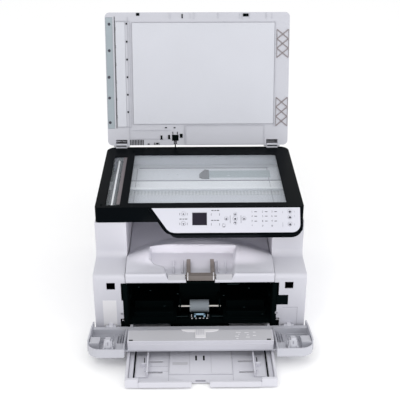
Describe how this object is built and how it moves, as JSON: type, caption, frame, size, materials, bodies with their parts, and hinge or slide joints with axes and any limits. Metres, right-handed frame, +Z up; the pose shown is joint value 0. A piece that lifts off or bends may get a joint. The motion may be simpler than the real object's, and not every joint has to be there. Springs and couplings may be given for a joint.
{
  "type": "photocopier",
  "caption": "Desktop laser copier with a raised document-feeder lid, flatbed glass, folded-down front door, open toner cavity and a drawn-out paper cassette.",
  "frame": {"origin": "middle of the flat underside of the base, on the table plane", "axes": "+X to the machine's right as seen from the front, +Y from the front to the back, +Z up"},
  "size_m": [0.418, 0.6651, 0.5219],
  "materials": {
    "black_plastic": "satin moulding",
    "blue_plastic": "matt",
    "cover_plastic": "fine matt moulding",
    "display_window": "dark polished window",
    "glass": "clear polished",
    "grey_plastic": "satin",
    "liner_plastic": "matt black moulding",
    "rubber": "matt",
    "steel": "brushed",
    "taupe_plastic": "satin",
    "white_foam": "soft sheet",
    "white_plastic": "fine satin moulding"
  },
  "bodies": {
    "body": {"base_frame": "liner_plastic", "cavity_liner": "liner_plastic", "control_panel": "cover_plastic", "display": "display_window", "exit_deck": "cover_plastic", "exit_housing": "cover_plastic", "feeder_glass": "glass", "hinge_post_1": "black_plastic", "hinge_post_2": "black_plastic", "lid_cable": "black_plastic", "pad_holder": "blue_plastic", "panel_housing": "black_plastic", "platen_glass": "glass", "power_inlet": "black_plastic", "rear_cover": "cover_plastic", "roller_bracket": "liner_plastic", "scan_rail": "steel", "scanner_bezel": "black_plastic", "scanner_tub": "cover_plastic", "separation_pad": "rubber", "side_cover_left": "white_plastic", "side_cover_right": "white_plastic"},
    "lid": {"lid_plate": "white_plastic", "lid_cover": "white_plastic", "pressure_pad": "white_foam", "feeder_pad": "white_foam", "lid_strip": "steel", "lid_connector": "black_plastic", "feeder_housing": "cover_plastic", "feeder_tray": "white_plastic"},
    "feeder_cover": {"feeder_cover": "white_plastic"},
    "feeder_roller": {"feeder_roller": "rubber"},
    "feeder_guide_front": {"feeder_guide_front": "grey_plastic"},
    "feeder_guide_back": {"feeder_guide_back": "grey_plastic"},
    "scan_carriage": {"scan_carriage": "black_plastic"},
    "paper_stop": {"paper_stop": "taupe_plastic"},
    "exit_roller": {"exit_roller": "rubber"},
    "transfer_roller": {"transfer_roller": "rubber"},
    "pickup": {"pickup_roller": "rubber", "pickup_shaft": "steel"},
    "rear_door": {"rear_door": "cover_plastic"},
    "power_switch": {"power_switch": "black_plastic"},
    "door": {"door_panel": "white_plastic", "paper_block": "cover_plastic"},
    "cassette": {"cassette_tray": "black_plastic"},
    "lift_plate": {"lift_plate": "grey_plastic"},
    "width_guide_left": {"width_guide_left": "grey_plastic"},
    "width_guide_right": {"width_guide_right": "grey_plastic"},
    "key_back": {"key_back": "grey_plastic"},
    "key_down": {"key_down": "grey_plastic"},
    "key_left": {"key_left": "grey_plastic"},
    "key_ok": {"key_ok": "grey_plastic"},
    "key_right": {"key_right": "grey_plastic"},
    "key_start_1": {"key_start_1": "grey_plastic"},
    "key_start_2": {"key_start_2": "grey_plastic"},
    "key_start_3": {"key_start_3": "grey_plastic"},
    "key_up": {"key_up": "grey_plastic"},
    "key_volume_down": {"key_volume_down": "grey_plastic"},
    "key_volume_up": {"key_volume_up": "grey_plastic"}
  },
  "joints": [
    {"name": "lid_hinge", "type": "hinge", "parent": "body", "child": "lid", "pos_m": [0, 0.184, 0.243], "axis": [1, 0, 0], "range_deg": [0, 104.86]},
    {"name": "feeder_cover_hinge", "type": "hinge", "parent": "lid", "child": "feeder_cover", "pos_m": [-0.1952, 0.2771, 0.40866], "axis": [0, 0.2565, 0.9666], "range_deg": [0, 80]},
    {"name": "feeder_roller_spin", "type": "hinge", "parent": "lid", "child": "feeder_roller", "pos_m": [-0.1102, 0.27101, 0.41028], "axis": [0, -0.2565, -0.9666], "continuous": true},
    {"name": "feeder_guide_front_slide", "type": "slide", "parent": "lid", "child": "feeder_guide_front", "axis": [0, -0.2565, -0.9666], "range_m": [0, 0.05]},
    {"name": "feeder_guide_back_slide", "type": "slide", "parent": "lid", "child": "feeder_guide_back", "axis": [0, 0.2565, 0.9666], "range_m": [0, 0.05]},
    {"name": "scan_carriage_slide", "type": "slide", "parent": "body", "child": "scan_carriage", "axis": [1, 0, 0], "range_m": [0, 0.325]},
    {"name": "key_ok_press", "type": "slide", "parent": "body", "child": "key_ok", "axis": [0, 0.8192, -0.5736], "range_m": [0, 0.0008], "stiffness_N_per_m": 400, "springref_m": -0.0003},
    {"name": "key_left_press", "type": "slide", "parent": "body", "child": "key_left", "axis": [0, 0.8192, -0.5736], "range_m": [0, 0.0008], "stiffness_N_per_m": 400, "springref_m": -0.0003},
    {"name": "key_right_press", "type": "slide", "parent": "body", "child": "key_right", "axis": [0, 0.8192, -0.5736], "range_m": [0, 0.0008], "stiffness_N_per_m": 400, "springref_m": -0.0003},
    {"name": "key_up_press", "type": "slide", "parent": "body", "child": "key_up", "axis": [0, 0.8192, -0.5736], "range_m": [0, 0.0008], "stiffness_N_per_m": 400, "springref_m": -0.0003},
    {"name": "key_down_press", "type": "slide", "parent": "body", "child": "key_down", "axis": [0, 0.8192, -0.5736], "range_m": [0, 0.0008], "stiffness_N_per_m": 400, "springref_m": -0.0003},
    {"name": "key_back_press", "type": "slide", "parent": "body", "child": "key_back", "axis": [0, 0.8192, -0.5736], "range_m": [0, 0.0008], "stiffness_N_per_m": 400, "springref_m": -0.0003},
    {"name": "key_volume_up_press", "type": "slide", "parent": "body", "child": "key_volume_up", "axis": [0, 0.8192, -0.5736], "range_m": [0, 0.0008], "stiffness_N_per_m": 400, "springref_m": -0.0003},
    {"name": "key_volume_down_press", "type": "slide", "parent": "body", "child": "key_volume_down", "axis": [0, 0.8192, -0.5736], "range_m": [0, 0.0008], "stiffness_N_per_m": 400, "springref_m": -0.0003},
    {"name": "key_start_1_press", "type": "slide", "parent": "body", "child": "key_start_1", "axis": [0, 0.8192, -0.5736], "range_m": [0, 0.0008], "stiffness_N_per_m": 400, "springref_m": -0.0003},
    {"name": "key_start_2_press", "type": "slide", "parent": "body", "child": "key_start_2", "axis": [0, 0.8192, -0.5736], "range_m": [0, 0.0008], "stiffness_N_per_m": 400, "springref_m": -0.0003},
    {"name": "key_start_3_press", "type": "slide", "parent": "body", "child": "key_start_3", "axis": [0, 0.8192, -0.5736], "range_m": [0, 0.0008], "stiffness_N_per_m": 400, "springref_m": -0.0003},
    {"name": "paper_stop_hinge", "type": "hinge", "parent": "body", "child": "paper_stop", "pos_m": [0, -0.1785, 0.1325], "axis": [1, 0, 0], "range_deg": [0, 100]},
    {"name": "exit_roller_spin", "type": "hinge", "parent": "body", "child": "exit_roller", "pos_m": [0, 0.0753, 0.168], "axis": [1, 0, 0], "continuous": true},
    {"name": "transfer_roller_spin", "type": "hinge", "parent": "body", "child": "transfer_roller", "pos_m": [0, -0.057, 0.048], "axis": [1, 0, 0], "continuous": true},
    {"name": "pickup_roller_spin", "type": "hinge", "parent": "body", "child": "pickup", "pos_m": [0, -0.147, 0.0415], "axis": [1, 0, 0], "continuous": true},
    {"name": "rear_door_hinge", "type": "hinge", "parent": "body", "child": "rear_door", "pos_m": [0, 0.183, 0.07], "axis": [-1, 0, 0], "range_deg": [0, 90]},
    {"name": "power_switch_hinge", "type": "hinge", "parent": "body", "child": "power_switch", "pos_m": [-0.114, 0.18, 0.087], "axis": [1, 0, 0], "range_deg": [0, 8]},
    {"name": "door_hinge", "type": "hinge", "parent": "body", "child": "door", "pos_m": [0, -0.189, 0.022], "axis": [1, 0, 0], "range_deg": [-79, 0]},
    {"name": "cassette_slide", "type": "slide", "parent": "body", "child": "cassette", "axis": [0, 1, 0], "range_m": [0, 0.16]},
    {"name": "lift_plate_hinge", "type": "hinge", "parent": "cassette", "child": "lift_plate", "pos_m": [0, -0.091, 0.0046], "axis": [1, 0, 0], "range_deg": [-2.5, 0]},
    {"name": "width_guide_left_slide", "type": "slide", "parent": "cassette", "child": "width_guide_left", "axis": [1, 0, 0], "range_m": [0, 0.034]},
    {"name": "width_guide_right_slide", "type": "slide", "parent": "cassette", "child": "width_guide_right", "axis": [-1, 0, 0], "range_m": [0, 0.034]}
  ],
  "couplings": [
    {"joint": "feeder_guide_back_slide", "follows": "feeder_guide_front_slide", "ratio": 1},
    {"joint": "width_guide_right_slide", "follows": "width_guide_left_slide", "ratio": 1}
  ]
}
